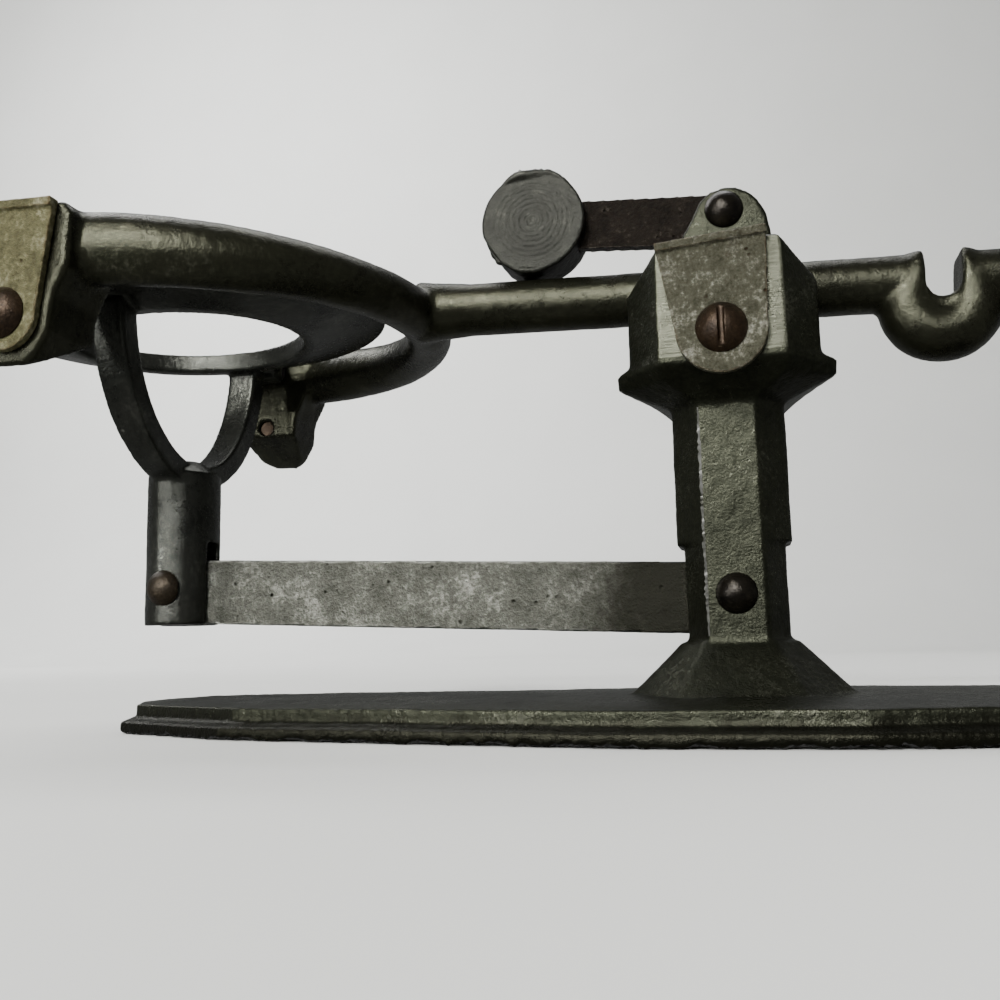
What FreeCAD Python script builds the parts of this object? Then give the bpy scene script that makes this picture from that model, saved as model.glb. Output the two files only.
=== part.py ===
import FreeCAD, Part
import math
import os
import re
import Sketcher

# Egg grading balance.  Units are millimetres.
# Frame: +X runs along the beam towards the counterweight, +Y runs to the rear,
# +Z is up.  The origin is on the underside of the base, on the pillar axis.

os.makedirs("parts", exist_ok=True)
doc = FreeCAD.newDocument("egg_balance")
sheet = doc.addObject("Spreadsheet::Sheet", "dims")

# ---------------------------------------------------------------- driving sizes
SIZES = {
    # overall layout
    "link_pitch": 95.0,         # pillar rivet to post rivet, and fulcrum to yoke pivots
    "pivot_rise": 47.2,         # lower pivots to upper pivots
    "link_pivot_z": 19.6,       # height of the pillar rivet
    "rest_tilt": 2.5,           # beam stands right end down with no egg in the ring
    # base plate
    "base_half_len": 104.0,
    "base_corner_in": 5.0,
    "base_corner_y": 11.0,
    "base_knee_in": 29.0,
    "base_knee_y": 22.5,
    "base_flat_half": 15.0,
    "base_half_dep": 33.4,
    "step_low": 1.8,
    "step_slope": 0.7,
    "step_high": 2.0,
    "step_inset": 1.8,
    "crown_rise": 1.0,
    "crown_long": 0.86,
    "crown_wide": 0.12,
    # foot and pillar
    "foot_half": 17.0,
    "foot_face": 9.2,
    "foot_top_face": 4.9,
    "foot_top_z": 12.7,
    "pillar_set_in": 1.0,
    "pillar_half": 8.4,
    "pillar_face": 4.2,
    "pillar_step_z": 27.2,
    "pillar_top_drop": 18.6,    # fulcrum down to the top of the pillar
    # head
    "head_half": 14.0,
    "head_face": 9.1,
    "head_foot_drop": 13.5,
    "skirt_half": 16.1,
    "skirt_face": 8.6,
    "skirt_thick": 1.9,
    "skirt_tuck": 4.7,
    "shoulder_rise": -1.5,
    "brow_rise": 4.2,
    "brow_half": 8.7,
    "head_top_rise": 7.8,
    "head_top_half": 6.8,
    "head_top_face": 5.0,
    "ear_play": 0.3,
    "ear_thick": 3.4,
    "ear_half": 5.2,
    "ear_crown": 3.7,
    # beam
    "beam_dia": 8.7,
    "beam_offset": 0.6,
    "beam_right_end": 80.0,
    "notch_x": 32.4,
    "notch_width": 5.2,
    "notch_floor": 3.2,
    "dip_swell": 0.1,           # the bar round the dip is this much stouter than the beam
    "dip_spare": 0.25,          # opening left inside the bent bar, filled by the web
    "weight_dia": 34.0,
    "weight_len": 34.0,
    "yoke_len_half": 44.5,
    "yoke_wid_half": 38.2,
    "yoke_thick": 8.6,
    "lug_inner": 33.3,
    "lug_thick": 10.6,
    "lug_top": 5.2,
    "lug_bottom": 18.4,
    "lug_half": 7.9,
    "lug_slant": 5.0,
    "window_gap": 0.9,
    # knife edges and bearings
    "knife_wide": 2.6,
    "knife_tall": 2.9,
    "knife_slope": 2.3,
    "knife_rest": 0.03,
    "knife_bite": 4.2,
    "bearing_wall": 1.1,
    "bearing_up": 3.2,
    "bearing_down": 3.6,
    "bearing_deep": 4.0,
    "vee_spare": 2.0,
    "seat_gap": 0.04,
    # cover plates and their screws
    "plate_thick": 1.3,
    "plate_top_half": 8.1,
    "plate_round": 6.6,
    "yoke_plate_top_half": 6.9,
    "yoke_plate_round": 5.4,
    "plate_up": 14.1,
    "plate_lip": 0.7,
    "plate_turn": 4.2,
    "screw_drop": 9.4,
    "yoke_screw_drop": 11.2,
    "yoke_screw_shift": 1.0,
    "screw_head_dia": 7.6,
    "screw_head_tall": 2.2,
    "screw_dia": 3.3,
    "screw_len": 8.0,
    "screw_slot": 0.9,
    "screw_slot_deep": 1.1,
    # egg holder
    "hole_len_half": 21.3,
    "hole_wid_half": 17.6,
    "land": 2.3,
    "rim_len_half": 36.4,
    "rim_wid_half": 29.8,
    "ring_under": 2.9,
    "ring_top": 1.8,
    "rim_thick": 1.4,
    "dish_deep": 1.1,
    "boss_half": 3.6,
    "fork_out_half": 24.6,
    "fork_in_half": 20.0,
    "fork_out_drop": 29.2,
    "fork_in_drop": 25.4,
    "fork_wide": 5.6,
    "post_dia": 12.4,
    "post_top": 26.0,
    "post_below": 6.2,
    "post_slot_above": 8.0,
    # check link
    "link_thick": 2.8,
    "link_tall": 11.0,
    "link_drop": 0.4,
    "link_over": 5.0,
    "slot_gap": 0.35,
    # rivets
    "rivet_dia": 3.2,
    "rivet_head_dia": 6.2,
    "rivet_head_tall": 1.9,
    "rivet_fit": 0.06,
    # flip weight
    "flip_x": 1.2,
    "ear_rise": 5.1,
    "flip_reach": 31.0,
    "disc_clear": 0.55,
    "flip_thick": 2.0,
    "flip_tall": 8.2,
    "disc_dia": 17.3,
    "disc_thick": 7.0,
    "disc_bite": 5.0,
}
for row, name in enumerate(SIZES, start=1):
    sheet.set("A%d" % row, name)
    sheet.set("B%d" % row, str(SIZES[name]))
    sheet.setAlias("B%d" % row, name)
doc.recompute()


def size(name):
    """Current value of one sheet cell."""
    return float(sheet.get(name))


def sheet_terms(text):
    """Turn bare size names into references to the sheet."""
    def one(match):
        word = match.group(0)
        return "dims." + word if word in SIZES else word
    return re.sub(r"[a-z_]+", one, str(text))


def bind(obj, prop, text):
    obj.setExpression(prop, sheet_terms(text))


def bind_base(obj, x, y, z):
    bind(obj, "Placement.Base.x", x)
    bind(obj, "Placement.Base.y", y)
    bind(obj, "Placement.Base.z", z)


# ---------------------------------------------------------------- shape helpers
def box(name, x0, x1, y0, y1, z0, z1):
    obj = doc.addObject("Part::Box", name)
    bind(obj, "Length", "(%s) - (%s)" % (x1, x0))
    bind(obj, "Width", "(%s) - (%s)" % (y1, y0))
    bind(obj, "Height", "(%s) - (%s)" % (z1, z0))
    bind_base(obj, x0, y0, z0)
    return obj


TURNS = {
    "x": FreeCAD.Rotation(FreeCAD.Vector(0, 1, 0), 90),
    "y": FreeCAD.Rotation(FreeCAD.Vector(1, 0, 0), -90),
    "z": FreeCAD.Rotation(),
}


def rod(name, axis, radius, x, y, z, length):
    """Cylinder that starts at x, y, z and runs along +axis."""
    obj = doc.addObject("Part::Cylinder", name)
    obj.Placement.Rotation = TURNS[axis]
    bind(obj, "Radius", radius)
    bind(obj, "Height", length)
    bind_base(obj, x, y, z)
    return obj


PLANES = {
    "xy": (FreeCAD.Rotation(), FreeCAD.Vector(0, 0, 1)),
    "xz": (FreeCAD.Rotation(FreeCAD.Vector(1, 0, 0), 90), FreeCAD.Vector(0, 1, 0)),
    "yz": (FreeCAD.Rotation(FreeCAD.Vector(1, 1, 1), 120), FreeCAD.Vector(1, 0, 0)),
}


def outline(name, plane, points, level):
    """Closed polygon sketch whose every corner is held to the sheet."""
    sketch = doc.addObject("Sketcher::SketchObject", name)
    sketch.Placement.Rotation = PLANES[plane][0]
    rough = []
    for u, v in points:
        rough.append((rough_value(u), rough_value(v)))
    count = len(points)
    for i in range(count):
        a = FreeCAD.Vector(rough[i][0], rough[i][1], 0)
        b = FreeCAD.Vector(rough[(i + 1) % count][0], rough[(i + 1) % count][1], 0)
        sketch.addGeometry(Part.LineSegment(a, b), False)
    for i in range(count):
        sketch.addConstraint(Sketcher.Constraint("Coincident", i, 2, (i + 1) % count, 1))
    for i in range(count):
        iu = sketch.addConstraint(Sketcher.Constraint("DistanceX", -1, 1, i, 1, rough[i][0]))
        iv = sketch.addConstraint(Sketcher.Constraint("DistanceY", -1, 1, i, 1, rough[i][1]))
        sketch.renameConstraint(iu, "u%d" % i)
        sketch.renameConstraint(iv, "v%d" % i)
        bind(sketch, "Constraints.u%d" % i, points[i][0])
        bind(sketch, "Constraints.v%d" % i, points[i][1])
    axis = {"xy": "z", "xz": "y", "yz": "x"}[plane]
    bind(sketch, "Placement.Base.%s" % axis, level)
    return sketch


def rough_value(text):
    """Starting value of an expression, taken from a scratch cell of the sheet."""
    sheet.set("D1", "=" + re.sub(r"dims\.", "", sheet_terms(text)))
    sheet.recompute()
    value = sheet.get("D1")
    return float(value)


def prism(name, plane, points, level, length):
    sketch = outline(name + "_outline", plane, points, level)
    obj = doc.addObject("Part::Extrusion", name)
    obj.Base = sketch
    obj.DirMode = "Custom"
    obj.Dir = PLANES[plane][1]
    obj.Solid = True
    bind(obj, "LengthFwd", length)
    return obj


def octagon(half, face, half_y=None, face_y=None):
    """Corners of a box with cut corners: half widths and half face widths.

    face is half the width of the front face, face_y that of a side face.
    """
    half_y = half if half_y is None else half_y
    face_y = face if face_y is None else face_y
    return [
        ("-(%s)" % face, "-(%s)" % half_y), (face, "-(%s)" % half_y),
        (half, "-(%s)" % face_y), (half, face_y),
        (face, half_y), ("-(%s)" % face, half_y),
        ("-(%s)" % half, face_y), ("-(%s)" % half, "-(%s)" % face_y),
    ]


def tower(name, lower, low_z, upper, high_z):
    """Solid between two outlines of the same number of corners."""
    obj = doc.addObject("Part::Loft", name)
    obj.Sections = [
        outline(name + "_low", "xy", lower, low_z),
        outline(name + "_high", "xy", upper, high_z),
    ]
    obj.Solid = True
    obj.Ruled = True
    return obj


def oval(name, long_half, short_half, z):
    obj = doc.addObject("Part::Ellipse", name)
    bind(obj, "MajorRadius", long_half)
    bind(obj, "MinorRadius", short_half)
    bind(obj, "Placement.Base.z", z)
    return obj


def oval_tower(name, low, low_z, high, high_z):
    obj = doc.addObject("Part::Loft", name)
    obj.Sections = [
        oval(name + "_low", low[0], low[1], low_z),
        oval(name + "_high", high[0], high[1], high_z),
    ]
    obj.Solid = True
    obj.Ruled = True
    return obj


def fuse(name, shapes):
    obj = doc.addObject("Part::MultiFuse", name)
    obj.Shapes = shapes
    obj.Refine = False
    return obj


def common(name, shapes):
    obj = doc.addObject("Part::MultiCommon", name)
    obj.Shapes = shapes
    return obj


def cut(name, base, tools):
    obj = doc.addObject("Part::Cut", name)
    obj.Base = base
    obj.Tool = tools[0] if len(tools) == 1 else fuse(name + "_tools", tools)
    obj.Refine = False
    return obj


NODES = []


def node(obj, label, x="0", y="0", z="0", turn=None):
    """Name a finished sub-part and stand it in the assembly."""
    obj.Label = label
    if turn is not None:
        obj.Placement.Rotation = FreeCAD.Rotation(FreeCAD.Vector(0, 1, 0), 1)
        bind(obj, "Placement.Rotation.Angle", turn)
    bind_base(obj, x, y, z)
    NODES.append(obj)
    return obj


# Heights and places that several pieces share.
FULCRUM_Z = "(link_pivot_z + pivot_rise)"
PILLAR_TOP = "(link_pivot_z + pivot_rise - pillar_top_drop)"
HEAD_FOOT = "(link_pivot_z + pivot_rise - head_foot_drop)"
SHOULDER = "(link_pivot_z + pivot_rise + shoulder_rise)"
BROW = "(link_pivot_z + pivot_rise + brow_rise)"
HEAD_TOP = "(link_pivot_z + pivot_rise + head_top_rise)"
FLIP_Z = "(link_pivot_z + pivot_rise + head_top_rise + ear_rise)"
DIP_BAR = "(beam_dia / 2 + dip_swell)"
DIP_BEND = "(beam_dia / 2 + dip_swell + dip_spare)"
YOKE_X = "(0 - link_pitch * cos(rest_tilt))"
YOKE_Z = "(link_pivot_z + pivot_rise + link_pitch * sin(rest_tilt))"
BASE_TOP = "(step_low + step_slope + step_high)"
PILLAR_LOW = "(pillar_half - pillar_set_in)"
VEE_HALF = "(knife_wide / 2 + vee_spare)"
BEARING_HALF = "(knife_wide / 2 + vee_spare + bearing_wall)"
EAR_GAP = "(flip_thick + 2 * ear_play)"
POST_BOTTOM = "(pivot_rise + post_below)"
SIDES = (("front", -1), ("rear", 1))


def y_span(side, inner, outer):
    """Lowest and highest Y of something between two distances from the middle."""
    if side < 0:
        return "-(%s)" % outer, "-(%s)" % inner
    return "(%s)" % inner, "(%s)" % outer


# ---------------------------------------------------------------- stand casting
# One zinc casting: stepped base, flared foot, octagonal pillar, head and ears.
def base_plan(inset, long="1", wide="1"):
    corners = [
        ("base_half_len - %s" % inset, "0"),
        ("base_half_len - base_corner_in - %s" % inset, "base_corner_y - %s" % inset),
        ("base_half_len - base_knee_in - %s" % inset, "base_knee_y - %s" % inset),
        ("base_flat_half", "base_half_dep - %s" % inset),
    ]
    right_rear = [("(%s) * %s" % (x, long), "(%s) * %s" % (y, wide)) for x, y in corners]
    left_rear = [("-(%s)" % x, y) for x, y in reversed(right_rear[1:])]
    tip = [("-(%s)" % right_rear[0][0], "0")]
    left_front = [("-(%s)" % x, "-(%s)" % y) for x, y in right_rear[1:]]
    right_front = [(x, "-(%s)" % y) for x, y in reversed(right_rear[1:])]
    return right_rear + left_rear + tip + left_front + right_front


base_low = prism("base_low", "xy", base_plan("0"), "0", "step_low")
base_slope = tower("base_slope", base_plan("0"), "step_low",
                   base_plan("step_inset"), "step_low + step_slope")
base_high = prism("base_high", "xy", base_plan("step_inset"), "step_low + step_slope",
                  "step_high")
base_crown = tower("base_crown", base_plan("step_inset"), BASE_TOP,
                   base_plan("step_inset", "crown_long", "crown_wide"), BASE_TOP + " + crown_rise")
foot = tower("foot", octagon("foot_half", "foot_face"), BASE_TOP + " - 0.5",
             octagon("pillar_half", "foot_top_face"), "foot_top_z")
pillar_low = prism("pillar_low", "xy",
                   octagon(PILLAR_LOW, "pillar_face", "pillar_half", "pillar_face"),
                   "foot_top_z - 1", "pillar_step_z - foot_top_z + 1")
pillar_high = prism("pillar_high", "xy", octagon("pillar_half", "pillar_face"),
                    "pillar_step_z", PILLAR_TOP + " - pillar_step_z")
SKIRT_TOP = "(%s - 0.3)" % HEAD_FOOT
SKIRT_LOW = "(%s - 0.3 - skirt_thick)" % HEAD_FOOT


def lip_plan(front_face, front, side_front, side, tuck, side_rear, rear):
    """Outline of the lip under the head: widest towards the front, dying out to the rear."""
    right = [(front_face, "-(%s)" % front), (side, "-(%s)" % side_front),
             ("%s - %s" % (side, tuck), side_rear), (front_face, rear)]
    left = [("-(%s)" % x, y) for x, y in reversed(right)]
    return right + left


LIP_HIGH = lip_plan("head_face", "head_half", "skirt_face", "skirt_half",
                    "(skirt_half - head_half)", "skirt_face - 1", "head_half - 1")
LIP_LOW = lip_plan("head_face - 0.6", "head_half - 2.2", "skirt_face - 1.5", "skirt_half",
                   "skirt_tuck", "skirt_face - 1.5", "head_half - 3.5")
PILLAR_CROWN = lip_plan("pillar_face + 0.2", "pillar_half + 0.3", "pillar_face + 0.2",
                        "pillar_half + 0.3", "0", "pillar_face + 0.2", "pillar_half + 0.3")
HEAD_PLAN = lip_plan("head_face", "head_half", "head_face", "head_half", "0", "head_face",
                     "head_half")
capital = tower("capital", PILLAR_CROWN, PILLAR_TOP, LIP_LOW, SKIRT_LOW)
skirt = tower("skirt", LIP_LOW, SKIRT_LOW, LIP_HIGH, SKIRT_TOP)
skirt_top = tower("skirt_top", LIP_HIGH, SKIRT_TOP, HEAD_PLAN, HEAD_FOOT + " + 0.8")
head_block = prism("head_block", "xy", HEAD_PLAN, HEAD_FOOT,
                   "head_foot_drop + head_top_rise")
roof = prism("roof", "xz", [
    ("-(head_half + 1)", HEAD_FOOT + " - 1"), ("head_half + 1", HEAD_FOOT + " - 1"),
    ("head_half + 1", SHOULDER), ("head_half", SHOULDER), ("brow_half", BROW),
    ("head_top_half", HEAD_TOP), ("-(head_top_half)", HEAD_TOP),
    ("-(brow_half)", BROW), ("-(head_half)", SHOULDER), ("-(head_half + 1)", SHOULDER),
], "-(head_half + 1)", "2 * head_half + 2")
brow = prism("brow", "yz", [
    ("-(head_half + 1)", HEAD_FOOT + " - 1"), ("head_half + 1", HEAD_FOOT + " - 1"),
    ("head_half + 1", BROW), ("head_half", BROW),
    ("head_top_face", HEAD_TOP), ("-(head_top_face)", HEAD_TOP),
    ("-(head_half)", BROW), ("-(head_half + 1)", BROW),
], "-(head_half + 1)", "2 * head_half + 2")
head = common("head", [head_block, roof, brow])

ears = []
for word, side in SIDES:
    low, high = y_span(side, EAR_GAP + " / 2", EAR_GAP + " / 2 + ear_thick")
    ears.append(prism("ear_%s" % word, "xz", [
        ("flip_x - 8.3", HEAD_TOP + " - 3"), ("flip_x + 6.9", HEAD_TOP + " - 3"),
        ("flip_x + 7", HEAD_TOP + " + 0.4"), ("flip_x + ear_half + 1.2", FLIP_Z + " - 1"),
        ("flip_x + ear_half", FLIP_Z + " + 0.35 * ear_crown"),
        ("flip_x + 0.75 * ear_half", FLIP_Z + " + 0.7 * ear_crown"),
        ("flip_x + 0.4 * ear_half", FLIP_Z + " + 0.95 * ear_crown"),
        ("flip_x", FLIP_Z + " + ear_crown"),
        ("flip_x - 0.4 * ear_half", FLIP_Z + " + 0.85 * ear_crown"),
        ("flip_x - 0.7 * ear_half", FLIP_Z + " + 0.5 * ear_crown"),
        ("flip_x - ear_half", FLIP_Z + " - 1.2"), ("flip_x - ear_half - 1.4", FLIP_Z + " - 3.6"),
    ], low, "ear_thick"))
stand_solid = fuse("stand_solid", [base_low, base_slope, base_high, base_crown, foot,
                                   pillar_low, pillar_high, capital, skirt, skirt_top,
                                   head] + ears)

# Cuts: beam window, link slot, rivet holes, bearing seats, knife ways, screw holes.
WINDOW = "(beam_dia / 2 + window_gap)"
stand_cuts = [
    box("beam_window", "-(skirt_half + 2)", "skirt_half + 2", "-" + WINDOW, WINDOW,
        FULCRUM_Z + " + beam_offset - " + WINDOW + " - 0.5",
        FULCRUM_Z + " + beam_offset + " + WINDOW + " + 0.1"),
    box("link_way", "-(foot_half)", "foot_half", "-(link_thick / 2 + slot_gap)",
        "link_thick / 2 + slot_gap", "foot_top_z - 0.5", "pillar_step_z"),
    rod("pillar_rivet_hole", "y", "rivet_dia / 2", "0", "-(pillar_half + 1)",
        "link_pivot_z", "2 * pillar_half + 2"),
    rod("ear_hole", "y", "rivet_dia / 2", "flip_x", "-12", FLIP_Z, "24"),
]
for word, side in SIDES:
    low, high = y_span(side, "head_half - bearing_deep", "head_half + 1")
    stand_cuts.append(box("head_seat_%s" % word, "-(%s + seat_gap)" % BEARING_HALF,
                          BEARING_HALF + " + seat_gap", low, high,
                          FULCRUM_Z + " - bearing_down - seat_gap",
                          FULCRUM_Z + " + bearing_up + seat_gap"))
    low, high = y_span(side, "beam_dia / 2", "head_half - bearing_deep + 0.5")
    stand_cuts.append(box("head_knife_way_%s" % word, "-(knife_wide / 2 + 1.2)",
                          "knife_wide / 2 + 1.2", low, high, FULCRUM_Z + " - 0.8",
                          FULCRUM_Z + " + bearing_up + seat_gap"))
    low, high = y_span(side, "head_half - screw_len", "head_half + 1")
    stand_cuts.append(rod("head_screw_hole_%s" % word, "y", "screw_dia / 2", "0", low,
                          FULCRUM_Z + " - screw_drop", "screw_len + 1"))
stand = node(cut("stand_cut", stand_solid, stand_cuts), "stand")

# ---------------------------------------------------------------- beam casting
# Own frame: the fulcrum line is the local Y axis.
beam_rod = rod("beam_rod", "x", "beam_dia / 2", "-(link_pitch - yoke_len_half + 1)", "0",
               "beam_offset", "link_pitch - yoke_len_half + 1 + beam_right_end + 1")
dip = doc.addObject("Part::Torus", "dip")
dip.Placement.Rotation = TURNS["y"]
bind(dip, "Radius1", DIP_BEND)
bind(dip, "Radius2", DIP_BAR)
bind_base(dip, "notch_x", "0", "beam_offset - notch_floor")
dip_web = rod("dip_web", "y", DIP_BEND, "notch_x", "-(beam_dia / 2) + 1",
              "beam_offset - notch_floor", "beam_dia - 2")
counterweight = rod("counterweight", "x", "weight_dia / 2", "beam_right_end", "0",
                    "beam_offset", "weight_len")
weight_neck = doc.addObject("Part::Cone", "weight_neck")
weight_neck.Placement.Rotation = TURNS["x"]
bind(weight_neck, "Radius1", "beam_dia / 2")
bind(weight_neck, "Radius2", "weight_dia / 2 - 5")
bind(weight_neck, "Height", "9")
bind_base(weight_neck, "beam_right_end - 9", "0", "beam_offset")
yoke_root = doc.addObject("Part::Cone", "yoke_root")
yoke_root.Placement.Rotation = TURNS["x"]
bind(yoke_root, "Radius1", "beam_dia / 2 + 0.9")
bind(yoke_root, "Radius2", "beam_dia / 2")
bind(yoke_root, "Height", "9")
bind_base(yoke_root, "-(link_pitch - yoke_len_half)", "0", "beam_offset")


def yoke_arms():
    """Half oval bar that thickens towards the lugs, as one loft of oval sections."""
    sections = []
    count = 16
    reach = size("yoke_len_half")
    width = size("yoke_wid_half")
    thick = size("yoke_thick")
    centre = -size("link_pitch")
    for i in range(count + 1):
        angle = math.radians(-90.0 + 180.0 * i / count)
        side = abs(math.sin(angle)) ** 3
        tall = thick * (0.94 + 0.34 * side)
        wide = thick * (0.93 + 0.08 * side)
        point = FreeCAD.Vector(centre + reach * math.cos(angle), width * math.sin(angle),
                               size("beam_offset") - 0.9 + 0.5 * side)
        along = FreeCAD.Vector(-reach * math.sin(angle), width * math.cos(angle), 0)
        along.normalize()
        up = FreeCAD.Vector(0, 0, 1)
        ring = Part.Ellipse(point + up * (tall / 2), point + along.cross(up) * (wide / 2), point)
        sections.append(Part.Wire([ring.toShape()]))
    return Part.makeLoft(sections, True, False)


arms = doc.addObject("Part::Feature", "yoke_arms")
arms.Shape = yoke_arms()
arms.Placement = FreeCAD.Placement()

LUG = [
    ("lug_half - link_pitch - 1.5", "lug_top"), ("lug_half - link_pitch", "lug_top - 1.5"),
    ("lug_half - link_pitch", "-4"), ("lug_half - link_pitch - 2", "-8.5"),
    ("lug_half - link_pitch - 2.4", "4.6 - lug_bottom"),
    ("lug_half - link_pitch - 4.2", "1.2 - lug_bottom"),
    ("lug_half - link_pitch - 6", "-(lug_bottom)"),
    ("5.2 - lug_half - link_pitch", "-(lug_bottom)"),
    ("2.6 - lug_half - link_pitch", "1.2 - lug_bottom"),
    ("1.2 - lug_half - link_pitch", "4.6 - lug_bottom"),
    ("0.8 - lug_half - link_pitch", "-8.5"), ("-(lug_half) - link_pitch", "-4"),
    ("-(lug_half) - link_pitch", "lug_top - 1.5"), ("1.5 - lug_half - link_pitch", "lug_top"),
]
lugs = []
beam_cuts = []
for word, side in SIDES:
    low, high = y_span(side, "lug_inner", "lug_inner + lug_thick")
    lugs.append(prism("lug_%s" % word, "xz", LUG, low, "lug_thick"))
    low, high = y_span(side, "lug_inner + lug_thick - bearing_deep",
                       "lug_inner + lug_thick + 1")
    beam_cuts.append(box("yoke_seat_%s" % word,
                         "-(%s + seat_gap) - link_pitch" % BEARING_HALF,
                         BEARING_HALF + " + seat_gap - link_pitch", low, high,
                         "-(bearing_down + seat_gap)", "bearing_up + seat_gap"))
    low, high = y_span(side, "lug_inner - 4", "lug_inner + lug_thick - bearing_deep + 0.5")
    beam_cuts.append(box("yoke_knife_way_%s" % word, "-(knife_wide / 2 + 1.2) - link_pitch",
                         "knife_wide / 2 + 1.2 - link_pitch", low, high, "-0.8",
                         "bearing_up + seat_gap"))
    low, high = y_span(side, "lug_inner - 1", "lug_inner + lug_thick + 1")
    beam_cuts.append(rod("yoke_screw_hole_%s" % word, "y", "screw_dia / 2",
                         "-(link_pitch) - yoke_screw_shift", low, "-(yoke_screw_drop)",
                         "lug_thick + 2"))
    outer = "%d * (lug_inner + lug_thick + 1)" % side
    inner = "%d * (lug_inner - 1)" % side
    slant = [(inner, "1 - lug_bottom - lug_thick"), (inner, "lug_slant + 1 - lug_bottom"),
             (outer, "-(lug_bottom) - 1"), (outer, "1 - lug_bottom - lug_thick")]
    beam_cuts.append(prism("lug_slant_%s" % word, "yz", slant, "-(link_pitch) - 20", "40"))
beam_cuts.append(box("notch_walls", "notch_x - notch_width / 2", "notch_x + notch_width / 2",
                     "-(beam_dia)", "beam_dia", "beam_offset - notch_floor + notch_width / 4",
                     "beam_dia"))
beam_cuts.append(rod("notch_round", "y", "notch_width / 2", "notch_x", "-(beam_dia)",
                     "beam_offset - notch_floor + notch_width / 2", "2 * beam_dia"))


def knife_section(x, z):
    """Bar with its lower side ground to an edge; x and z place the edge line."""
    return [
        (x, "%s + knife_rest" % z),
        ("%s + knife_wide / 2" % x, "%s + knife_rest + knife_slope" % z),
        ("%s + knife_wide / 2" % x, "%s + knife_rest + knife_tall" % z),
        ("%s - knife_wide / 2" % x, "%s + knife_rest + knife_tall" % z),
        ("%s - knife_wide / 2" % x, "%s + knife_rest + knife_slope" % z),
    ]


beam_cuts.append(box("notch_top", "notch_x - 14", "notch_x + 14", "-(beam_dia)", "beam_dia",
                     "beam_offset + beam_dia / 2 - 0.05", "beam_offset + beam_dia + 4"))
beam_cuts.append(prism("beam_knife_hole", "xz", knife_section("0", "0"), "-(beam_dia)",
                       "2 * beam_dia"))
beam_solid = fuse("beam_solid", [beam_rod, dip, dip_web, counterweight, weight_neck,
                                 yoke_root, arms] + lugs)
beam = node(cut("beam_cut", beam_solid, beam_cuts), "beam", "0", "0", FULCRUM_Z, "rest_tilt")
beam_knife = prism("beam_knife_bar", "xz", knife_section("0", "0"), "0.35 - head_half",
                   "2 * head_half - 0.7")
node(beam_knife, "beam_knife_edge", "0", "0", FULCRUM_Z, "rest_tilt")


# ---------------------------------------------------------------- vee bearings
def bearing(name, x, face):
    """Steel block with a vee in its upper side; face is where its outer end stands."""
    side = -1 if name.endswith("front") else 1
    low, high = y_span(side, "%s - bearing_deep + 0.05" % face, face)
    return prism(name, "xz", [
        ("%s - %s" % (x, BEARING_HALF), "-(bearing_down)"),
        ("%s + %s" % (x, BEARING_HALF), "-(bearing_down)"),
        ("%s + %s" % (x, BEARING_HALF), "bearing_up"),
        ("%s + %s" % (x, VEE_HALF), "bearing_up"),
        (x, "0"),
        ("%s - %s" % (x, VEE_HALF), "bearing_up"),
        ("%s - %s" % (x, BEARING_HALF), "bearing_up"),
    ], low, "bearing_deep - 0.05")


for word, side in SIDES:
    node(bearing("hb_%s" % word, "0", "head_half"), "head_bearing_%s" % word, "0", "0",
         FULCRUM_Z)
    node(bearing("yb_%s" % word, "0 - link_pitch", "(lug_inner + lug_thick)"),
         "yoke_bearing_%s" % word, "0", "0", FULCRUM_Z, "rest_tilt")


# ---------------------------------------------------------------- cover plates
# Own frame: origin at the screw, on the face the plate lies against.
def cover_plate(name, side, up, top_half, low_half):
    low, high = y_span(side, "0", "plate_thick")
    sheet_body = prism(name + "_leaf", "xz", [
        ("-(%s)" % top_half, up), ("0.05 - %s" % low_half, "0"),
        ("%s - 0.05" % low_half, "0"), (top_half, up),
    ], low, "plate_thick")
    low_round = rod(name + "_round", "y", low_half, "0", low, "0", "plate_thick")
    low, high = y_span(side, "plate_thick - 0.2", "plate_thick + plate_lip")
    lip = box(name + "_lip", "-(%s)" % top_half, top_half, low, high,
              "%s - plate_thick" % up, up)
    hole = rod(name + "_hole", "y", "screw_dia / 2 + 0.1", "0", "-5", "0", "10")
    return cut(name + "_cut", fuse(name + "_solid", [sheet_body, low_round, lip]), [hole])


# Slotted round head screw.  Own frame: origin under the head, on the axis.
def round_screw(name, side, length):
    low, high = y_span(side, "0", "screw_head_tall")
    ball = doc.addObject("Part::Sphere", name + "_ball")
    ball.Placement.Rotation = TURNS["y"]
    reach = "((screw_head_dia ^ 2 / 4 + screw_head_tall ^ 2) / (2 * screw_head_tall))"
    bind(ball, "Radius", reach)
    bind(ball, "Placement.Base.y", "%d * (screw_head_tall - %s)" % (side, reach))
    keep = rod(name + "_keep", "y", "screw_head_dia / 2 + 1", "0", low, "0",
               "screw_head_tall")
    head_cap = common(name + "_cap", [ball, keep])
    low, high = y_span(side, "0 - %s" % length, "0.3")
    shank = rod(name + "_shank", "y", "screw_dia / 2", "0", low, "0", "%s + 0.3" % length)
    low, high = y_span(side, "screw_head_tall - screw_slot_deep", "screw_head_tall + 1")
    slot = box(name + "_slot", "-(screw_slot / 2)", "screw_slot / 2", low, high,
               "-(screw_head_dia)", "screw_head_dia")
    return cut(name + "_cut", fuse(name + "_solid", [head_cap, shank]), [slot])


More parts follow.
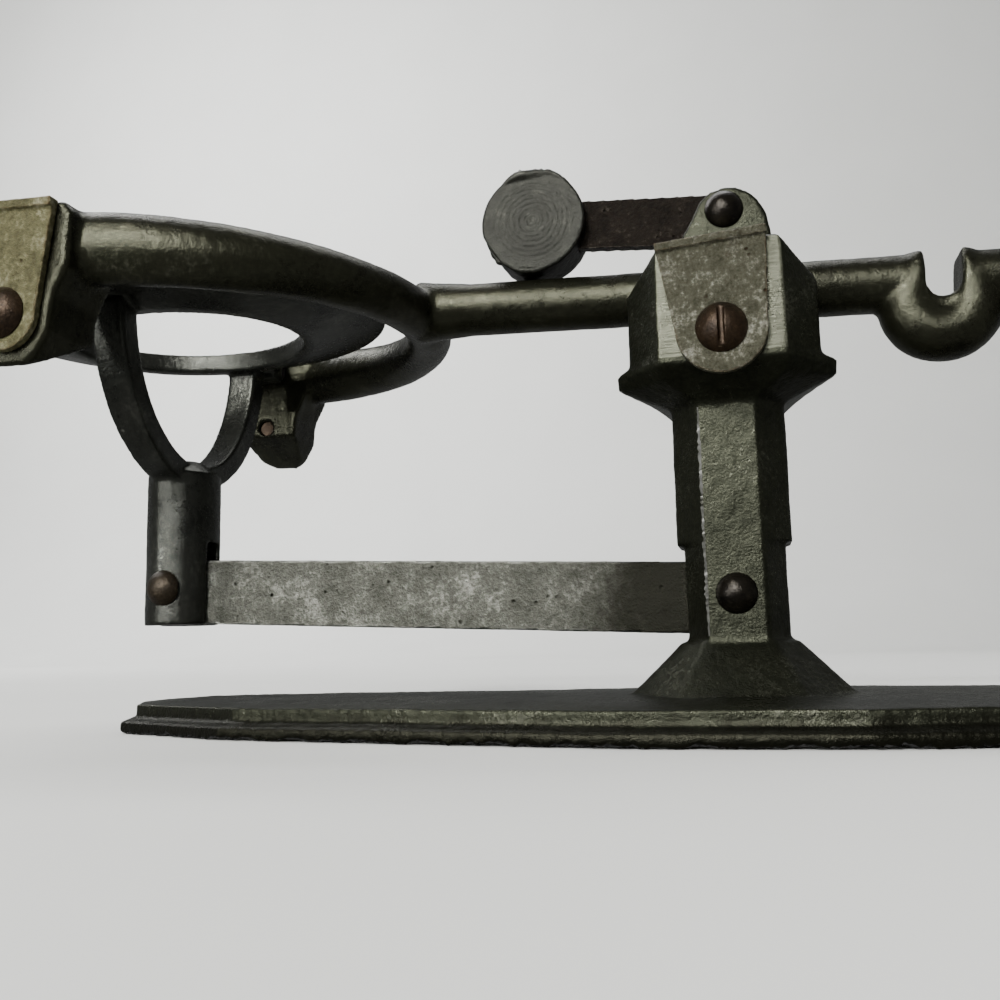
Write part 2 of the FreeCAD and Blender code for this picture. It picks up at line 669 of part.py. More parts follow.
SCREW_GRIP = "(screw_len - 0.6 - plate_thick)"
for word, side in SIDES:
    plate = cover_plate("head_plate_%s_own" % word, side, "plate_up", "plate_top_half",
                        "plate_round")
    face = "%d * head_half" % side
    plate_turn = "%d * plate_turn" % side
    node(plate, "head_plate_%s" % word, "0", face, FULCRUM_Z + " - screw_drop", plate_turn)
    screw = round_screw("head_screw_%s_own" % word, side, "(screw_len - 1 + plate_thick)")
    face = "%d * (head_half + plate_thick)" % side
    node(screw, "head_screw_%s" % word, "0", face, FULCRUM_Z + " - screw_drop")
    plate = cover_plate("yoke_plate_%s_own" % word, side, "(yoke_screw_drop + lug_top - 0.2)",
                        "yoke_plate_top_half", "yoke_plate_round")
    drop_x = (YOKE_X + " - yoke_screw_drop * sin(rest_tilt)"
              " - yoke_screw_shift * cos(rest_tilt)")
    drop_z = (YOKE_Z + " - yoke_screw_drop * cos(rest_tilt)"
              " + yoke_screw_shift * sin(rest_tilt)")
    face = "%d * (lug_inner + lug_thick)" % side
    node(plate, "yoke_plate_%s" % word, drop_x, face, drop_z, "rest_tilt")
    screw = round_screw("yoke_screw_%s_own" % word, side, "(lug_thick + plate_thick - 0.8)")
    face = "%d * (lug_inner + lug_thick + plate_thick)" % side
    node(screw, "yoke_screw_%s" % word, drop_x, face, drop_z, "rest_tilt")

# ---------------------------------------------------------------- egg holder
# One casting: oval dished ring, fork and slotted post.  Own frame: knife line is local Y.
HOLE = ("hole_len_half", "hole_wid_half")
LAND = ("hole_len_half + land", "hole_wid_half + land")
RIM = ("rim_len_half", "rim_wid_half")
ring_under = oval_tower("ring_under", LAND, "-(ring_under)", RIM, "ring_top - rim_thick")
ring_rim = oval_tower("ring_rim", RIM, "ring_top - rim_thick", RIM, "ring_top")
ring_cuts = [
    oval_tower("ring_hole", HOLE, "-(ring_under) - 1", HOLE, "ring_top + 1"),
    oval_tower("ring_dish", ("hole_len_half + 0.8", "hole_wid_half + 0.8"),
               "ring_top - dish_deep", ("rim_len_half - 2", "rim_wid_half - 2"),
               "ring_top + 0.1"),
]
ring = cut("ring", fuse("ring_solid", [ring_under, ring_rim]), ring_cuts)


def fork_plate(name, half, drop):
    """Half oval slab in the YZ plane, hanging from the ring."""
    obj = doc.addObject("Part::Ellipse", name + "_edge")
    obj.Placement.Rotation = FreeCAD.Rotation(FreeCAD.Vector(0, 1, 0), 90)
    bind(obj, "MajorRadius", drop)
    bind(obj, "MinorRadius", half)
    bind(obj, "Placement.Base.x", "-(fork_wide / 2)")
    slab = doc.addObject("Part::Extrusion", name)
    slab.Base = obj
    slab.DirMode = "Custom"
    slab.Dir = FreeCAD.Vector(1, 0, 0)
    slab.Solid = True
    bind(slab, "LengthFwd", "fork_wide")
    return slab


fork_outer = fork_plate("fork_outer", "fork_out_half", "fork_out_drop")
fork_inner = fork_plate("fork_inner", "fork_in_half", "fork_in_drop")
fork_top = box("fork_top", "-10", "10", "-60", "60", "0.6 - ring_under", "60")
fork = cut("fork", fork_outer, [fork_inner, fork_top])
post = rod("post", "z", "post_dia / 2", "0", "0", "-" + POST_BOTTOM,
           POST_BOTTOM + " - post_top - 1")
post_cap = doc.addObject("Part::Cone", "post_cap")
bind(post_cap, "Radius1", "post_dia / 2")
bind(post_cap, "Radius2", "fork_wide / 2")
bind(post_cap, "Height", "2.4")
bind(post_cap, "Placement.Base.z", "-(post_top + 1)")
bosses = []
for word, side in SIDES:
    low, high = y_span(side, "rim_wid_half - 2.9", "rim_wid_half + 1.4")
    bosses.append(box("boss_%s" % word, "-(boss_half)", "boss_half", low, high,
                      "-2.2", "knife_tall + 0.9"))
holder_cuts = [
    box("post_slot", "-(post_dia)", "post_dia", "-(link_thick / 2 + slot_gap)",
        "link_thick / 2 + slot_gap", "-%s - 1" % POST_BOTTOM,
        "post_slot_above - pivot_rise"),
    rod("post_rivet_hole", "y", "rivet_dia / 2", "0", "-(post_dia)", "-(pivot_rise)",
        "2 * post_dia"),
]
KNIFE_IN = "(rim_wid_half + 1.4 - knife_bite)"
KNIFE_OUT = "(lug_inner + lug_thick - 0.35)"
for word, side in SIDES:
    low, high = y_span(side, KNIFE_IN, KNIFE_OUT)
    holder_cuts.append(prism("holder_knife_hole_%s" % word, "xz", knife_section("0", "0"),
                             low, KNIFE_OUT + " - " + KNIFE_IN))
holder_solid = fuse("holder_solid", [ring, fork, post, post_cap] + bosses)
node(cut("holder_cut", holder_solid, holder_cuts), "egg_holder", YOKE_X, "0", YOKE_Z)
for word, side in SIDES:
    low, high = y_span(side, KNIFE_IN, KNIFE_OUT)
    knife = prism("holder_knife_%s" % word, "xz", knife_section("0", "0"), low,
                  KNIFE_OUT + " - " + KNIFE_IN)
    node(knife, "holder_knife_edge_%s" % word, YOKE_X, "0", YOKE_Z)

# ---------------------------------------------------------------- check link
# Flat cast bar.  Own frame: pillar rivet axis is local Y.
link_bar = box("link_bar", "-(link_pitch + link_over)", "link_over", "-(link_thick / 2)",
               "link_thick / 2", "-(link_tall / 2) - link_drop",
               "link_tall / 2 - link_drop")
link_cuts = []
for word, where in (("pillar", "0"), ("post", "-(link_pitch)")):
    link_cuts.append(rod("link_hole_%s" % word, "y", "rivet_dia / 2 + rivet_fit", where,
                         "-(link_thick)", "0", "2 * link_thick"))
node(cut("link_cut", link_bar, link_cuts), "check_link", "0", "0", "link_pivot_z", "rest_tilt")


# ---------------------------------------------------------------- rivets
# Domed both ends.  Own frame: axis is local Y, middle at the origin.
def rivet(name, grip):
    shank = rod(name + "_shank", "y", "rivet_dia / 2", "0", "-(%s) / 2 - 0.3" % grip, "0",
                "%s + 0.6" % grip)
    reach = "((rivet_head_dia ^ 2 / 4 + rivet_head_tall ^ 2) / (2 * rivet_head_tall))"
    caps = []
    for word, side in SIDES:
        ball = doc.addObject("Part::Sphere", "%s_ball_%s" % (name, word))
        ball.Placement.Rotation = TURNS["y"]
        bind(ball, "Radius", reach)
        bind(ball, "Placement.Base.y",
             "%d * (%s / 2 + rivet_head_tall - %s)" % (side, grip, reach))
        low, high = y_span(side, "%s / 2" % grip, "%s / 2 + rivet_head_tall" % grip)
        keep = rod("%s_keep_%s" % (name, word), "y", "rivet_head_dia", "0", low, "0",
                   "rivet_head_tall")
        caps.append(common("%s_cap_%s" % (name, word), [ball, keep]))
    return fuse(name, [shank] + caps)


node(rivet("rivet_pillar", "(2 * pillar_half)"), "pillar_rivet", "0", "0", "link_pivot_z")
node(rivet("rivet_post", "(post_dia)"), "post_rivet", YOKE_X, "0", YOKE_Z + " - pivot_rise")
node(rivet("rivet_flip", "(%s + 2 * ear_thick)" % EAR_GAP), "flip_rivet", "flip_x", "0", FLIP_Z)

# ---------------------------------------------------------------- flip weight
# Flat steel arm with the weight cast on its end.  Own frame: rivet axis is local Y.
# At rest the weight stands just clear of the beam's upper side.
flip_bar = box("flip_bar", "disc_bite - disc_dia / 2 - flip_reach + 3.2 - disc_bite", "0",
               "-(flip_thick / 2)", "flip_thick / 2", "-(flip_tall / 2)", "flip_tall / 2")
flip_end = rod("flip_end", "y", "flip_tall / 2", "0", "-(flip_thick / 2)", "0", "flip_thick")
flip_hole = rod("flip_hole", "y", "rivet_dia / 2 + rivet_fit", "0", "-5", "0", "10")
flip_arm = cut("flip_arm_cut", fuse("flip_arm_solid", [flip_bar, flip_end]), [flip_hole])
BEAM_TOP = ("(beam_offset + beam_dia / 2 / cos(rest_tilt)"
            " + (flip_reach - flip_x) * tan(rest_tilt))")
DISC_RISE = "(%s + disc_dia / 2 + disc_clear - head_top_rise - ear_rise)" % BEAM_TOP
FLIP_LIFT = "asin(%s / flip_reach)" % DISC_RISE
node(flip_arm, "flip_arm", "flip_x", "0", FLIP_Z, FLIP_LIFT)
disc_body = rod("disc_body", "y", "disc_dia / 2", "-(flip_reach)", "-(disc_thick / 2)", "0",
                "disc_thick")
disc_pocket = box("disc_pocket", "3.2 - disc_dia / 2 - flip_reach", "0",
                  "-(flip_thick / 2)", "flip_thick / 2", "-(flip_tall / 2)", "flip_tall / 2")
node(cut("disc_cut", disc_body, [disc_pocket]), "flip_weight", "flip_x", "0", FLIP_Z,
     FLIP_LIFT)

# ---------------------------------------------------------------- check and export
sheet.clear("D1")
doc.recompute()
bad = []
for obj in doc.Objects:
    if "Invalid" in obj.State or "Error" in obj.State:
        bad.append(obj.Name)
for obj in NODES:
    shape = obj.Shape
    if shape.isNull() or not shape.isValid() or not shape.Solids:
        bad.append(obj.Label)
if bad:
    raise RuntimeError("objects that did not build: " + ", ".join(bad))
for obj in NODES:
    obj.Shape.exportStep("parts/%s.step" % obj.Label)
    bounds = obj.Shape.BoundBox
    print("%-26s solids %d volume %9.1f  x %.1f %.1f  y %.1f %.1f  z %.1f %.1f" % (
        obj.Label, len(obj.Shape.Solids), obj.Shape.Volume, bounds.XMin, bounds.XMax,
        bounds.YMin, bounds.YMax, bounds.ZMin, bounds.ZMax))
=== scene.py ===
import math
import random

import bmesh
import bpy
from mathutils import Matrix, Vector


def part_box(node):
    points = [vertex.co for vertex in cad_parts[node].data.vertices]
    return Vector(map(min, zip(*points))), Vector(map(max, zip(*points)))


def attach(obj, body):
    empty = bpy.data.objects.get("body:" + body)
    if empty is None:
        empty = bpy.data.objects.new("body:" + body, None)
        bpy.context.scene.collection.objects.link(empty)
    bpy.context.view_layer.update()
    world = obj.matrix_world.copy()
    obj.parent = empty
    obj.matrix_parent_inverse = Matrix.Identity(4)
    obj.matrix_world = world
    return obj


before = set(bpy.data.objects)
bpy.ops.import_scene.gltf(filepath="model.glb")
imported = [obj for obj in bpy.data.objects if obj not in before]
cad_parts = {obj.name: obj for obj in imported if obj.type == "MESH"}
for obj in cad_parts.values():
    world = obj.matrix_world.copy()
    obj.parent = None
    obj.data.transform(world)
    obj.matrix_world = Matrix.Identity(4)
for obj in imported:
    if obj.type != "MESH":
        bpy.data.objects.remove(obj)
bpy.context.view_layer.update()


# ---------------------------------------------------------------- stand
# One heavy casting in dark zinc alloy: stepped base plate, flared foot, eight sided pillar,
# head with a lip under it, and two ears on top.  Poured in sand, then left rough except for
# the filed faces of the head.

def link_in(tree, source, target):
    """Join two sockets, each given as (node, name or number)."""
    tree.links.new(source[0].outputs[source[1]], target[0].inputs[target[1]])


def add_node(tree, kind, **values):
    """New shader node; values set its own properties, and inputs by their socket name."""
    made = tree.nodes.new(kind)
    for name, value in values.items():
        if hasattr(made, name):
            setattr(made, name, value)
        else:
            made.inputs[name.replace("_", " ")].default_value = value
    return made


def new_effect(name, inputs, outputs):
    """Empty shader node group with its own sockets."""
    group = bpy.data.node_groups.new(name, "ShaderNodeTree")
    for label, kind, value in inputs:
        socket = group.interface.new_socket(label, in_out="INPUT", socket_type=kind)
        socket.default_value = value
    for label, kind in outputs:
        group.interface.new_socket(label, in_out="OUTPUT", socket_type=kind)
    return group, group.nodes.new("NodeGroupInput"), group.nodes.new("NodeGroupOutput")


FLOAT = "NodeSocketFloat"
COLOUR = "NodeSocketColor"


def make_mottle():
    """Cloudy patina in three tones, with a value for how light each spot is."""
    group, taken, given = new_effect("patina_mottle", [
        ("Dark", COLOUR, (0.02, 0.02, 0.015, 1)), ("Mid", COLOUR, (0.08, 0.08, 0.06, 1)),
        ("Light", COLOUR, (0.25, 0.25, 0.2, 1)), ("Cloud", FLOAT, 120.0),
        ("Speck", FLOAT, 1400.0), ("Balance", FLOAT, 0.5),
    ], [("Color", COLOUR), ("Light", FLOAT)])
    place = add_node(group, "ShaderNodeTexCoord")
    cloud = add_node(group, "ShaderNodeTexNoise", Detail=6.0, Roughness=0.62)
    speck = add_node(group, "ShaderNodeTexNoise", Detail=4.0, Roughness=0.7)
    for noise, scale in ((cloud, "Cloud"), (speck, "Speck")):
        link_in(group, (place, "Object"), (noise, "Vector"))
        link_in(group, (taken, scale), (noise, "Scale"))
    both = add_node(group, "ShaderNodeMix", data_type="FLOAT")
    both.inputs[0].default_value = 0.45
    group.links.new(cloud.outputs["Fac"], both.inputs[2])
    group.links.new(speck.outputs["Fac"], both.inputs[3])
    shift = add_node(group, "ShaderNodeMath", operation="ADD")
    group.links.new(both.outputs[0], shift.inputs[0])
    group.links.new(taken.outputs["Balance"], shift.inputs[1])
    spread = add_node(group, "ShaderNodeMapRange")
    spread.inputs["From Min"].default_value = 0.8
    spread.inputs["From Max"].default_value = 1.25
    group.links.new(shift.outputs[0], spread.inputs["Value"])
    low = add_node(group, "ShaderNodeMapRange")
    low.inputs["From Max"].default_value = 0.5
    high = add_node(group, "ShaderNodeMapRange")
    high.inputs["From Min"].default_value = 0.5
    group.links.new(spread.outputs[0], low.inputs["Value"])
    group.links.new(spread.outputs[0], high.inputs["Value"])
    first = add_node(group, "ShaderNodeMix", data_type="RGBA")
    second = add_node(group, "ShaderNodeMix", data_type="RGBA")
    group.links.new(low.outputs[0], first.inputs[0])
    group.links.new(taken.outputs["Dark"], first.inputs[6])
    group.links.new(taken.outputs["Mid"], first.inputs[7])
    group.links.new(high.outputs[0], second.inputs[0])
    group.links.new(first.outputs[2], second.inputs[6])
    group.links.new(taken.outputs["Light"], second.inputs[7])
    group.links.new(second.outputs[2], given.inputs["Color"])
    group.links.new(spread.outputs[0], given.inputs["Light"])
    return group


def make_edge_shine():
    """Mask of handled edges, where the patina is rubbed through to bright metal."""
    group, taken, given = new_effect("edge_shine", [
        ("Start", FLOAT, 0.53), ("Full", FLOAT, 0.6), ("Patches", FLOAT, 300.0),
    ], [("Mask", FLOAT)])
    shape = add_node(group, "ShaderNodeNewGeometry")
    place = add_node(group, "ShaderNodeTexCoord")
    edge = add_node(group, "ShaderNodeMapRange")
    link_in(group, (shape, "Pointiness"), (edge, "Value"))
    link_in(group, (taken, "Start"), (edge, "From Min"))
    link_in(group, (taken, "Full"), (edge, "From Max"))
    noise = add_node(group, "ShaderNodeTexNoise", Detail=5.0, Roughness=0.7)
    link_in(group, (place, "Object"), (noise, "Vector"))
    link_in(group, (taken, "Patches"), (noise, "Scale"))
    rub = add_node(group, "ShaderNodeMapRange")
    rub.inputs["From Min"].default_value = 0.38
    rub.inputs["From Max"].default_value = 0.62
    group.links.new(noise.outputs["Fac"], rub.inputs["Value"])
    both = add_node(group, "ShaderNodeMath", operation="MULTIPLY")
    group.links.new(edge.outputs[0], both.inputs[0])
    group.links.new(rub.outputs[0], both.inputs[1])
    group.links.new(both.outputs[0], given.inputs["Mask"])
    return group


def make_sand_grain():
    """Height of a sand cast skin: fine grain, soft lumps and scattered pits."""
    group, taken, given = new_effect("sand_grain", [
        ("Grain", FLOAT, 2600.0), ("Lump", FLOAT, 500.0), ("Pit", FLOAT, 420.0),
        ("Pit Depth", FLOAT, 0.5),
    ], [("Height", FLOAT), ("Pits", FLOAT)])
    place = add_node(group, "ShaderNodeTexCoord")
    grain = add_node(group, "ShaderNodeTexNoise", Detail=4.0, Roughness=0.65)
    lump = add_node(group, "ShaderNodeTexNoise", Detail=2.0)
    pit = add_node(group, "ShaderNodeTexVoronoi")
    for noise, scale in ((grain, "Grain"), (lump, "Lump"), (pit, "Pit")):
        link_in(group, (place, "Object"), (noise, "Vector"))
        link_in(group, (taken, scale), (noise, "Scale"))
    hole = add_node(group, "ShaderNodeMapRange", interpolation_type="SMOOTHSTEP")
    hole.inputs["From Min"].default_value = 0.06
    hole.inputs["From Max"].default_value = 0.22
    hole.inputs["To Min"].default_value = 1.0
    hole.inputs["To Max"].default_value = 0.0
    link_in(group, (pit, "Distance"), (hole, "Value"))
    sparse = add_node(group, "ShaderNodeMapRange")
    sparse.inputs["From Min"].default_value = 0.55
    sparse.inputs["From Max"].default_value = 0.7
    link_in(group, (lump, "Fac"), (sparse, "Value"))
    holes = add_node(group, "ShaderNodeMath", operation="MULTIPLY")
    group.links.new(hole.outputs[0], holes.inputs[0])
    group.links.new(sparse.outputs[0], holes.inputs[1])
    deep = add_node(group, "ShaderNodeMath", operation="MULTIPLY")
    group.links.new(holes.outputs[0], deep.inputs[0])
    group.links.new(taken.outputs["Pit Depth"], deep.inputs[1])
    total = add_node(group, "ShaderNodeMath", operation="ADD")
    group.links.new(grain.outputs["Fac"], total.inputs[0])
    group.links.new(lump.outputs["Fac"], total.inputs[1])
    final = add_node(group, "ShaderNodeMath", operation="SUBTRACT")
    group.links.new(total.outputs[0], final.inputs[0])
    group.links.new(deep.outputs[0], final.inputs[1])
    group.links.new(final.outputs[0], given.inputs["Height"])
    group.links.new(holes.outputs[0], given.inputs["Pits"])
    return group


def make_filed_face():
    """Mask and scratches of a face that was filed flat: it looks to -Y or +Y, past a depth."""
    group, taken, given = new_effect("filed_face", [
        ("Depth", FLOAT, 0.0135), ("Foot", FLOAT, 0.054), ("Strokes", FLOAT, 2600.0),
    ], [("Mask", FLOAT), ("Scratch", FLOAT)])
    place = add_node(group, "ShaderNodeTexCoord")
    spot = add_node(group, "ShaderNodeSeparateXYZ")
    facing = add_node(group, "ShaderNodeSeparateXYZ")
    link_in(group, (place, "Object"), (spot, "Vector"))
    link_in(group, (place, "Normal"), (facing, "Vector"))
    depth = add_node(group, "ShaderNodeMath", operation="ABSOLUTE")
    link_in(group, (spot, "Y"), (depth, 0))
    deep = add_node(group, "ShaderNodeMath", operation="GREATER_THAN")
    group.links.new(depth.outputs[0], deep.inputs[0])
    group.links.new(taken.outputs["Depth"], deep.inputs[1])
    level = add_node(group, "ShaderNodeMath", operation="ABSOLUTE")
    link_in(group, (facing, "Y"), (level, 0))
    flat = add_node(group, "ShaderNodeMapRange", interpolation_type="SMOOTHSTEP")
    flat.inputs["From Min"].default_value = 0.86
    flat.inputs["From Max"].default_value = 0.97
    group.links.new(level.outputs[0], flat.inputs["Value"])
    above = add_node(group, "ShaderNodeMath", operation="GREATER_THAN")
    link_in(group, (spot, "Z"), (above, 0))
    group.links.new(taken.outputs["Foot"], above.inputs[1])
    first = add_node(group, "ShaderNodeMath", operation="MULTIPLY")
    group.links.new(deep.outputs[0], first.inputs[0])
    group.links.new(flat.outputs[0], first.inputs[1])
    second = add_node(group, "ShaderNodeMath", operation="MULTIPLY")
    group.links.new(first.outputs[0], second.inputs[0])
    group.links.new(above.outputs[0], second.inputs[1])
    group.links.new(second.outputs[0], given.inputs["Mask"])
    along = add_node(group, "ShaderNodeMapping")
    along.inputs["Scale"].default_value = (0.06, 0.06, 1.0)
    along.inputs["Rotation"].default_value = (0.0, 0.12, 0.0)
    link_in(group, (place, "Object"), (along, "Vector"))
    stroke = add_node(group, "ShaderNodeTexNoise", Detail=5.0, Roughness=0.7)
    link_in(group, (along, "Vector"), (stroke, "Vector"))
    link_in(group, (taken, "Strokes"), (stroke, "Scale"))
    group.links.new(stroke.outputs["Fac"], given.inputs["Scratch"])
    return group


def make_creep():
    """Ragged mask that grows from Start to End along one axis of the piece."""
    group, taken, given = new_effect("creep", [
        ("Along X", FLOAT, 0.0), ("Along Z", FLOAT, 1.0), ("Start", FLOAT, 0.0),
        ("End", FLOAT, 0.01), ("Ragged", FLOAT, 0.5), ("Scale", FLOAT, 200.0),
    ], [("Mask", FLOAT)])
    place = add_node(group, "ShaderNodeTexCoord")
    spot = add_node(group, "ShaderNodeSeparateXYZ")
    link_in(group, (place, "Object"), (spot, "Vector"))
    parts = []
    for axis in "XZ":
        share = add_node(group, "ShaderNodeMath", operation="MULTIPLY")
        group.links.new(spot.outputs[axis], share.inputs[0])
        group.links.new(taken.outputs["Along " + axis], share.inputs[1])
        parts.append(share)
    run = add_node(group, "ShaderNodeMath", operation="ADD")
    group.links.new(parts[0].outputs[0], run.inputs[0])
    group.links.new(parts[1].outputs[0], run.inputs[1])
    grown = add_node(group, "ShaderNodeMapRange", clamp=False)
    group.links.new(run.outputs[0], grown.inputs["Value"])
    group.links.new(taken.outputs["Start"], grown.inputs["From Min"])
    group.links.new(taken.outputs["End"], grown.inputs["From Max"])
    noise = add_node(group, "ShaderNodeTexNoise", Detail=6.0, Roughness=0.7)
    link_in(group, (place, "Object"), (noise, "Vector"))
    link_in(group, (taken, "Scale"), (noise, "Scale"))
    centred = add_node(group, "ShaderNodeMath", operation="SUBTRACT")
    group.links.new(noise.outputs["Fac"], centred.inputs[0])
    centred.inputs[1].default_value = 0.5
    swing = add_node(group, "ShaderNodeMath", operation="MULTIPLY_ADD")
    group.links.new(centred.outputs[0], swing.inputs[0])
    group.links.new(taken.outputs["Ragged"], swing.inputs[1])
    group.links.new(grown.outputs[0], swing.inputs[2])
    mask = add_node(group, "ShaderNodeMapRange", interpolation_type="SMOOTHSTEP")
    mask.inputs["From Min"].default_value = 0.2
    mask.inputs["From Max"].default_value = 0.8
    group.links.new(swing.outputs[0], mask.inputs["Value"])
    group.links.new(mask.outputs[0], given.inputs["Mask"])
    return group


mottle = make_mottle()
creep = make_creep()
edge_shine = make_edge_shine()
sand_grain = make_sand_grain()
filed_face = make_filed_face()


def place_effect(tree, group, **values):
    """Put a shared effect into a material, with its own values by socket name."""
    made = tree.nodes.new("ShaderNodeGroup")
    made.node_tree = group
    for name, value in values.items():
        made.inputs[name.replace("_", " ")].default_value = value
    return made


# sockets of a colour Mix node
MIX_MASK, MIX_BELOW, MIX_ABOVE, MIX_OUT = 0, 6, 7, 2


def blend_colours(tree, mask, below, above):
    """Colour mix; mask and colours are sockets, or a plain colour."""
    made = add_node(tree, "ShaderNodeMix", data_type="RGBA")
    tree.links.new(mask, made.inputs[MIX_MASK])
    for index, value in ((MIX_BELOW, below), (MIX_ABOVE, above)):
        if isinstance(value, tuple):
            made.inputs[index].default_value = value
        else:
            tree.links.new(value, made.inputs[index])
    return made.outputs[MIX_OUT]


GRAIN_HEIGHT = 0.0004


def metal_finish(name, dark, mid, light, worn, metallic=0.85, rough=(0.62, 0.4),
                 cloud=120.0, speck=1400.0, balance=0.5, edge=(0.53, 0.6), pit=420.0,
                 pit_depth=0.5, bump=0.25, pit_colour=(0.01, 0.009, 0.006, 1), filed=None,
                 stains_and_shade=()):
    """Old metal: mottled patina, rubbed edges, dirt in the pits and a cast or rusted skin.

    rough is the roughness of the dark and the light tone.  filed holds the two colours of a
    filed face.  Each stain and each band of painted shade is (share of X and Z, start, end,
    raggedness, scale, colour).
    """
    made = bpy.data.materials.new(name)
    made.use_nodes = True
    tree = made.node_tree
    shader = tree.nodes["Principled BSDF"]
    tone = place_effect(tree, mottle, Dark=dark, Mid=mid, Light=light, Cloud=cloud,
                        Speck=speck, Balance=balance)
    rub = place_effect(tree, edge_shine, Start=edge[0], Full=edge[1])
    skin = place_effect(tree, sand_grain, Pit=pit, Pit_Depth=pit_depth)
    dirty = blend_colours(tree, skin.outputs["Pits"], tone.outputs["Color"], pit_colour)
    colour = blend_colours(tree, rub.outputs["Mask"], dirty, worn)
    tree.links.new(colour, shader.inputs["Base Color"])
    # Rust stains, and bands of painted shade, each darkening the piece along one axis
    for along, start, end, ragged, scale, tint in stains_and_shade:
        stain_and_shade = place_effect(tree, creep, **{
            "Along X": along[0], "Along Z": along[1], "Start": start, "End": end,
            "Ragged": ragged, "Scale": scale})
        colour = blend_colours(tree, stain_and_shade.outputs["Mask"], colour, tint)
        tree.links.new(colour, shader.inputs["Base Color"])
    height = skin.outputs["Height"]
    if filed is not None:
        file_marks = place_effect(tree, filed_face)
        bright = blend_colours(tree, file_marks.outputs["Scratch"], filed[0], filed[1])
        bright = blend_colours(tree, skin.outputs["Pits"], bright, pit_colour)
        colour = blend_colours(tree, file_marks.outputs["Mask"], colour, bright)
        tree.links.new(colour, shader.inputs["Base Color"])
        mixed = add_node(tree, "ShaderNodeMix", data_type="FLOAT")
        tree.links.new(file_marks.outputs["Mask"], mixed.inputs[0])
        tree.links.new(height, mixed.inputs[2])
        tree.links.new(file_marks.outputs["Scratch"], mixed.inputs[3])
        height = mixed.outputs[0]
    gloss = add_node(tree, "ShaderNodeMapRange")
    gloss.inputs["To Min"].default_value = rough[0]
    gloss.inputs["To Max"].default_value = rough[1]
    tree.links.new(tone.outputs["Light"], gloss.inputs["Value"])
    tree.links.new(gloss.outputs[0], shader.inputs["Roughness"])
    shader.inputs["Metallic"].default_value = metallic
    relief = add_node(tree, "ShaderNodeBump", Strength=bump, Distance=GRAIN_HEIGHT)
    tree.links.new(height, relief.inputs["Height"])
    tree.links.new(relief.outputs["Normal"], shader.inputs["Normal"])
    return made


SEAM_GAP = 2e-6
SWAY_REACH = 0.009
GRIT_REACH = 0.0011


def cast_skin(node, cell, rounds, sway, grit):
    """Give a node the soft edges and uneven faces of a sand casting; sizes in metres."""
    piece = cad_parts[node]
    join = piece.modifiers.new("join", "WELD")
    join.merge_threshold = SEAM_GAP
    wrap = piece.modifiers.new("wrap", "REMESH")
    wrap.mode = "VOXEL"
    wrap.voxel_size = cell
    wrap.use_smooth_shade = True
    soft = piece.modifiers.new("soft", "SMOOTH")
    soft.factor = 0.5
    soft.iterations = rounds
    for label, reach, amount in (("sway", SWAY_REACH, sway), ("grit", GRIT_REACH, grit)):
        cloud = bpy.data.textures.new(node + "_" + label, "CLOUDS")
        cloud.noise_scale = reach
        cloud.noise_depth = 2
        push = piece.modifiers.new(label, "DISPLACE")
        push.texture = cloud
        push.texture_coords = "LOCAL"
        push.strength = amount
        push.mid_level = 0.5
    return piece


def finish_node(node, material):
    """Put one material on the whole of a node."""
    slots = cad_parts[node].data.materials
    slots.clear()
    slots.append(material)


def new_wear(name):
    """Empty geometry node tree that takes a mesh and gives it back worn."""
    tree = bpy.data.node_groups.new(name, "GeometryNodeTree")
    for way in ("INPUT", "OUTPUT"):
        tree.interface.new_socket("Geometry", in_out=way, socket_type="NodeSocketGeometry")
    return tree, tree.nodes.new("NodeGroupInput"), tree.nodes.new("NodeGroupOutput")


def ragged_foot(piece, height, amount):
    """Chew the lower edge of a piece, as where rough metal was broken from the mould."""
    tree, taken, given = new_wear("ragged_foot")
    place = tree.nodes.new("GeometryNodeInputPosition")
    spot = tree.nodes.new("ShaderNodeSeparateXYZ")
    tree.links.new(place.outputs[0], spot.inputs[0])
    low = tree.nodes.new("ShaderNodeMapRange")
    low.inputs["From Max"].default_value = height
    low.inputs["To Min"].default_value = 1.0
    low.inputs["To Max"].default_value = 0.0
    tree.links.new(spot.outputs["Z"], low.inputs["Value"])
    noise = tree.nodes.new("ShaderNodeTexNoise")
    noise.inputs["Scale"].default_value = 260.0
    noise.inputs["Detail"].default_value = 5.0
    noise.inputs["Roughness"].default_value = 0.75
    tree.links.new(place.outputs[0], noise.inputs["Vector"])
    chew = tree.nodes.new("ShaderNodeMapRange")
    chew.inputs["From Min"].default_value = 0.42
    chew.inputs["From Max"].default_value = 0.75
    chew.inputs["To Max"].default_value = amount
    tree.links.new(noise.outputs[0], chew.inputs["Value"])
    both = tree.nodes.new("ShaderNodeMath")
    both.operation = "MULTIPLY"
    tree.links.new(low.outputs[0], both.inputs[0])
    tree.links.new(chew.outputs[0], both.inputs[1])
    lift = tree.nodes.new("ShaderNodeCombineXYZ")
    tree.links.new(both.outputs[0], lift.inputs["Z"])
    move = tree.nodes.new("GeometryNodeSetPosition")
    tree.links.new(taken.outputs[0], move.inputs["Geometry"])
    tree.links.new(lift.outputs[0], move.inputs["Offset"])
    tree.links.new(move.outputs[0], given.inputs[0])
    made = piece.modifiers.new("ragged_foot", "NODES")
    made.node_group = tree
